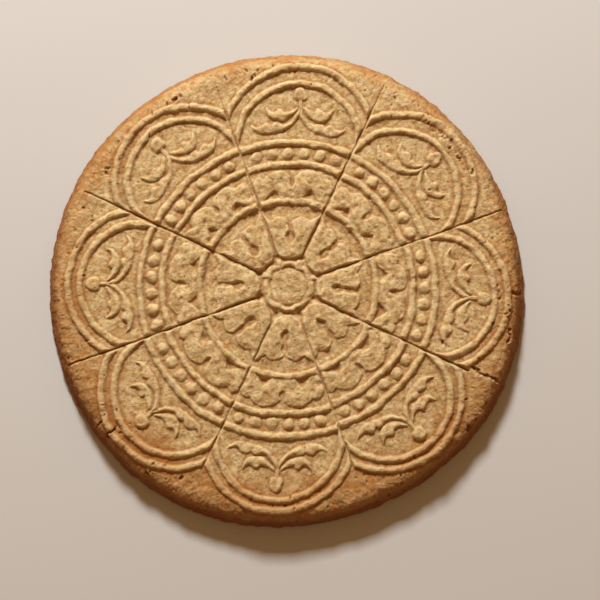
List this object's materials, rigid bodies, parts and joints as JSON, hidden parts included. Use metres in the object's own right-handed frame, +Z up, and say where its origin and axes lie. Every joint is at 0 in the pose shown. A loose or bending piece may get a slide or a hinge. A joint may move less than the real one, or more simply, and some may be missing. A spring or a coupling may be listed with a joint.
{
  "type": "moulded shortbread round",
  "caption": "Whole round of moulded shortbread with a scored petal, bead and leaf relief on top and a flat base to rest on.",
  "frame": {"origin": "middle of the flat base, on the surface that the biscuit rests on", "axes": "+Z up through the thickness, out of the moulded face; +X and +Y lie in the base"},
  "size_m": [0.2404, 0.241, 0.0163],
  "materials": {
    "crumb": "dry matte baked crumb, tan on top and browner at the edge"
  },
  "bodies": {
    "root": {"shortbread": "crumb"}
  },
  "joints": []
}
